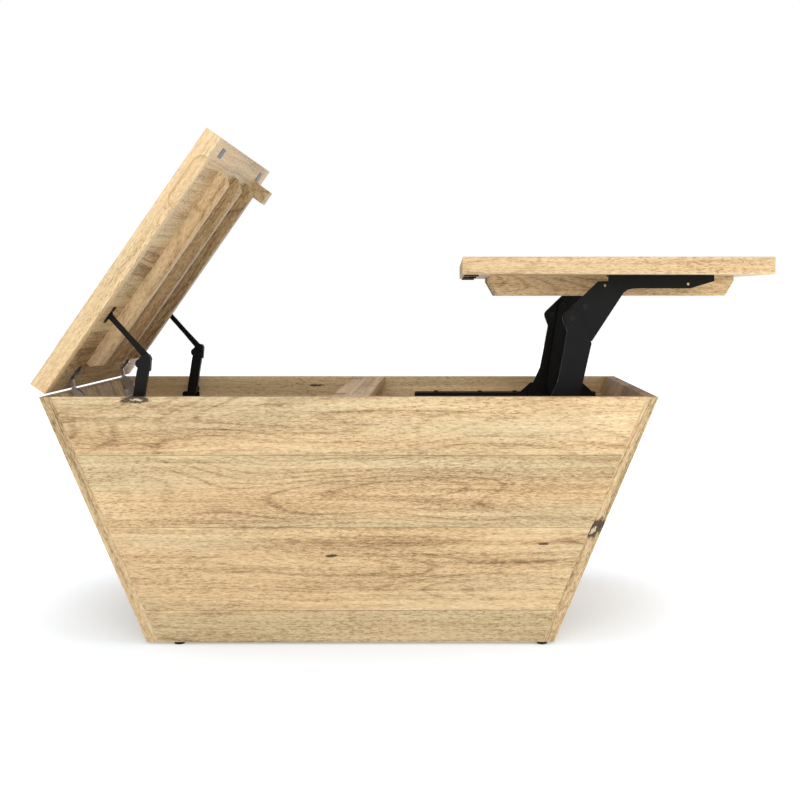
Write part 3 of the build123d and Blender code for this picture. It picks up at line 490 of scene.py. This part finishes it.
def tube_mesh(name, path, radius, material):
    """Round wire along a path of points."""
    curve = bpy.data.curves.new(name, "CURVE")
    curve.dimensions = "3D"
    line = curve.splines.new("POLY")
    line.points.add(len(path) - 1)
    for point, place in zip(line.points, path):
        point.co = (*place, 1.0)
    curve.bevel_depth = radius
    curve.bevel_resolution = 2
    curve.use_fill_caps = True
    shape = link(name + "_path", curve)
    bpy.context.view_layer.update()
    mesh = bpy.data.meshes.new_from_object(shape)
    bpy.data.objects.remove(shape)
    mesh.name = name
    mesh.materials.clear()
    mesh.materials.append(material)
    for face in mesh.polygons:
        face.use_smooth = True
    return link(name, mesh)


for side in SIDES:
    low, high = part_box("lift_spring_" + side)
    mid = (low + high) / 2
    reach = (high.z - low.z) / 2 - COIL_WIRE - COIL_CLEARANCE
    coil_start, coil_end = low.x + COIL_WIRE, high.x - COIL_TAIL
    path = []
    for step in range(COIL_TURNS * COIL_STEPS + 1):
        share = step / (COIL_TURNS * COIL_STEPS)
        angle = 2 * math.pi * step / COIL_STEPS
        path.append((coil_start + (coil_end - coil_start) * share,
                     mid.y + reach * math.cos(angle), mid.z + reach * math.sin(angle)))
    path.append((coil_end + 0.001, mid.y + reach * 0.5, mid.z))
    path.append((coil_end + 0.003, mid.y, mid.z))
    path.append((high.x - COIL_WIRE, mid.y, mid.z))
    coil = tube_mesh("spring_coil_" + side, path, COIL_WIRE, LOOKS["spring_steel"])
    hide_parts("lift_spring_" + side)
    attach(coil, "carcass")
    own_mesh(coil)


# ---------------------------------------------------------------- Screw heads
HEAD_POINTS = 48
HEAD_RINGS = (0.0, 0.14, 0.3, 0.46, 0.6, 0.76, 0.9, 1.0)    # shares of the radius
HEAD_DOME = 0.55                                            # fall to the rim, of the height
CROSS_HALF, CROSS_REACH = 0.12, 0.62                        # half width and reach of the recess
CROSS_DEPTH = 0.6                                           # of the height

# Radius and height.
PLATE_SCREW = (0.0036, 0.0012)
CUP_SCREW = (0.0032, 0.0008)
BRACKET_SCREW = (0.0030, 0.0009)

# How far each pair of screws lies inside its metal piece.
CUP_INSET, PLATE_INSET, FOOT_INSET, BRACKET_INSET = 0.005, 0.007, 0.006, 0.006
PLATE_SHARES = (0.2, 0.8)       # down the hinge plate
FOOT_RISE = 0.008               # above the lower edge of the stay's foot
FOOT_THICKNESS = 0.004
BRACKET_THICKNESS = 0.00125


def screw_head(name, place, normal, spin, body, slot, size=PLATE_SCREW):
    """Domed head with a cross recess, lying on a face."""
    radius, height = size
    points, faces = [], []
    for ring in HEAD_RINGS:
        for step in range(HEAD_POINTS):
            angle = 2 * math.pi * step / HEAD_POINTS
            x, y = ring * math.cos(angle), ring * math.sin(angle)
            rise = height * (1.0 - HEAD_DOME * ring ** 2)
            in_cross = min(abs(x), abs(y)) < CROSS_HALF and ring < CROSS_REACH
            cut = height * CROSS_DEPTH if in_cross else 0.0
            points.append((radius * x, radius * y, rise - cut))
    points += [(x, y, 0.0) for x, y, z in points[-HEAD_POINTS:]]
    for i in range(len(HEAD_RINGS)):
        for step in range(HEAD_POINTS):
            after = (step + 1) % HEAD_POINTS
            faces.append((i * HEAD_POINTS + step, (i + 1) * HEAD_POINTS + step,
                          (i + 1) * HEAD_POINTS + after, i * HEAD_POINTS + after))
    mesh = bpy.data.meshes.new(name)
    mesh.from_pydata(points, [], faces)
    mesh.validate()
    mesh.update()
    mesh.materials.append(LOOKS[slot])
    piece = link(name, mesh)
    turn = Vector(normal).normalized().to_track_quat("Z", "Y").to_matrix().to_4x4()
    piece.matrix_world = Matrix.Translation(place) @ turn @ Matrix.Rotation(spin, 4, "Z")
    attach(piece, body)


lid_down = LID_FRAME.to_3x3() @ Vector((0, 0, -1))
lid_under = local_range("lid_boards", LID_FRAME, 2)[0]
end_normal = Vector((math.cos(END_LEAN), 0, math.sin(END_LEAN)))
end_along = Vector((math.sin(END_LEAN), 0, -math.cos(END_LEAN)))
for side, sign in zip(SIDES, (-1, 1)):
    cup_x = local_range("hinge_cup_" + side, LID_FRAME, 0)
    cup_z = local_range("hinge_cup_" + side, LID_FRAME, 2)[0]
    cup_low, cup_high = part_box("hinge_cup_" + side)
    for y in (cup_low.y + CUP_INSET, cup_high.y - CUP_INSET):
        spot = LID_FRAME @ Vector((sum(cup_x) / 2, y, cup_z))
        screw_head(f"cup_screw_{side}_{y:.3f}".replace("-", "m"), spot, lid_down, 0.4 + y, "lid",
                   "hinge_nickel", CUP_SCREW)

    plate = frame["nodes"]["hinge_plate_" + side].data.vertices
    face = max(v.co.dot(end_normal) for v in plate)
    along = [v.co.dot(end_along) for v in plate]
    plate_low, plate_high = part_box("hinge_plate_" + side)
    for i, y in enumerate((plate_low.y + PLATE_INSET, plate_high.y - PLATE_INSET)):
        for j, share in enumerate(PLATE_SHARES):
            down = min(along) + (max(along) - min(along)) * share
            spot = end_normal * face + end_along * down + Vector((0, y, 0))
            screw_head(f"plate_screw_{side}_{i}{j}", spot, end_normal, 0.7 * i + j, "carcass",
                       "hinge_nickel")

    foot_low, foot_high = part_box("stay_foot_" + side)
    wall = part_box(side + "_panel")[1 if sign < 0 else 0].y
    for j, x in enumerate((foot_low.x + FOOT_INSET, foot_high.x - FOOT_INSET)):
        spot = Vector((x, wall - sign * FOOT_THICKNESS, foot_low.z + FOOT_RISE))
        screw_head(f"foot_screw_{side}_{j}", spot, (0, -sign, 0), 0.3 + j, "carcass", "screw_steel")

    bracket_x = local_range("stay_bracket_" + side, LID_FRAME, 0)
    bracket_low, bracket_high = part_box("stay_bracket_" + side)
    bracket_y = (bracket_low.y + bracket_high.y) / 2
    for j, x in enumerate((bracket_x[0] + BRACKET_INSET, bracket_x[1] - BRACKET_INSET)):
        spot = LID_FRAME @ Vector((x, bracket_y, lid_under - BRACKET_THICKNESS))
        screw_head(f"bracket_screw_{side}_{j}", spot, lid_down, 0.9 * j, "lid", "screw_steel",
                   BRACKET_SCREW)


# ---------------------------------------------------------------- Floor, light and camera
FLOOR_HALF = 14.0
FLOOR_DIM, FLOOR_BRIGHT = 0.35, 1.1     # distances from the middle
GLOW_DIM, GLOW_BRIGHT = 0.24, 0.75      # emission there, so that only the contact shadow shows
SKY_LIGHT, SKY_SEEN = 0.56, 1.0         # strength for lighting, and for the camera
WHITE = (1.0, 1.0, 1.0, 1.0)

floor_mesh = bpy.data.meshes.new("floor")
corners = [(-1, -1), (1, -1), (1, 1), (-1, 1)]
floor_mesh.from_pydata([(x * FLOOR_HALF, y * FLOOR_HALF, 0) for x, y in corners], [],
                       [(0, 1, 2, 3)])
floor = link("floor", floor_mesh)
paper = Graph("floor_white")
middle = paper.add("VectorMath", operation="LENGTH")
paper.join(paper.coordinates(), middle.inputs[0])
away = middle.outputs["Value"]
fibres = paper.noise(paper.coordinates(), scale=900.0)
paper_tone = paper.ramp(fibres, [(0.3, (0.80, 0.86, 0.92, 1.0)), (0.7, (0.82, 0.88, 0.94, 1.0))])
glow = paper.smooth(away, FLOOR_DIM, FLOOR_BRIGHT, GLOW_DIM, GLOW_BRIGHT)
floor_mesh.materials.append(paper.surface(
    paper_tone, 0.9, Specular_IOR_Level=0.0, Emission_Color=WHITE, Emission_Strength=glow))

world = bpy.data.worlds.new("studio")
bpy.context.scene.world = world
world.use_nodes = True
sky = world.node_tree
backdrop = sky.nodes["Background"]
backdrop.inputs[0].default_value = WHITE
seen = sky.nodes.new("ShaderNodeLightPath")
strength = sky.nodes.new("ShaderNodeMapRange")
strength.inputs["To Min"].default_value = SKY_LIGHT
strength.inputs["To Max"].default_value = SKY_SEEN
sky.links.new(seen.outputs["Is Camera Ray"], strength.inputs["Value"])
sky.links.new(strength.outputs[0], backdrop.inputs[1])


def soft_box(name, place, target, size, power):
    """Rectangular studio light of this size and power in watts, aimed at a target."""
    lamp = bpy.data.lights.new(name, "AREA")
    lamp.shape = "RECTANGLE"
    lamp.size, lamp.size_y = size
    lamp.energy = power
    piece = link(name, lamp)
    piece.location = place
    aim = Vector(target) - Vector(place)
    piece.rotation_euler = aim.to_track_quat("-Z", "Y").to_euler()


soft_box("key", (0.0, -3.2, 1.9), (0.0, 0.0, 0.4), (3.0, 2.2), 44.0)
soft_box("side", (2.6, -1.4, 0.75), (-0.2, 0.0, 0.6), (1.6, 1.4), 22.0)
soft_box("top", (0.0, 0.2, 3.2), (0.0, 0.0, 0.5), (3.0, 2.6), 20.0)

CAMERA_PLACE = (0.181, -2.565, 0.6334)
CAMERA_DOWN = 4.65          # degrees below the horizon
camera_data = bpy.data.cameras.new("camera")
camera_data.sensor_width = 36.0
camera_data.lens = 56.6
camera_data.shift_x = -0.0615
camera = link("camera", camera_data)
camera.location = CAMERA_PLACE
camera.rotation_euler = (math.radians(90.0 - CAMERA_DOWN), 0.0, 0.0)
bpy.context.scene.camera = camera
bpy.context.scene.view_settings.view_transform = "Standard"
